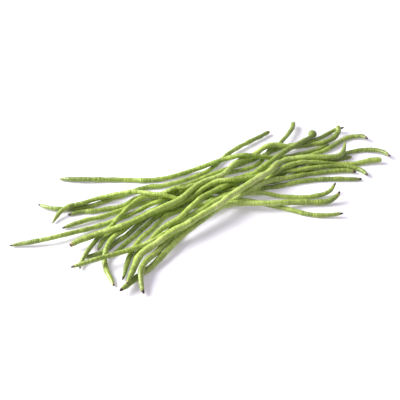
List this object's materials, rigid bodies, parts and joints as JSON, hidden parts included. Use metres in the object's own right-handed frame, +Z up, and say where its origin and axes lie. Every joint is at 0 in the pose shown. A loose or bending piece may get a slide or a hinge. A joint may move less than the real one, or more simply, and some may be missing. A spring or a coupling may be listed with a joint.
{
  "type": "yardlong bean bunch",
  "caption": "Bunch of long slender green yardlong bean pods lying loose on a surface, fanned at both ends and crossing in the middle.",
  "frame": {"origin": "middle of the bunch's footprint, on the surface it lies on", "axes": "+X along the bunch from its west fan to its east fan, +Y towards the back, +Z up from the surface"},
  "size_m": [0.6152, 0.4232, 0.0365],
  "materials": {
    "pod_skin": "satin"
  },
  "bodies": {
    "root": {"pod_01": "pod_skin", "pod_02": "pod_skin", "pod_03": "pod_skin", "pod_04": "pod_skin", "pod_05": "pod_skin", "pod_06": "pod_skin", "pod_07": "pod_skin", "pod_08": "pod_skin", "pod_09": "pod_skin", "pod_10": "pod_skin", "pod_11": "pod_skin", "pod_12": "pod_skin", "pod_13": "pod_skin", "pod_14": "pod_skin", "pod_15": "pod_skin", "pod_16": "pod_skin", "pod_17": "pod_skin", "pod_18": "pod_skin"}
  },
  "joints": []
}
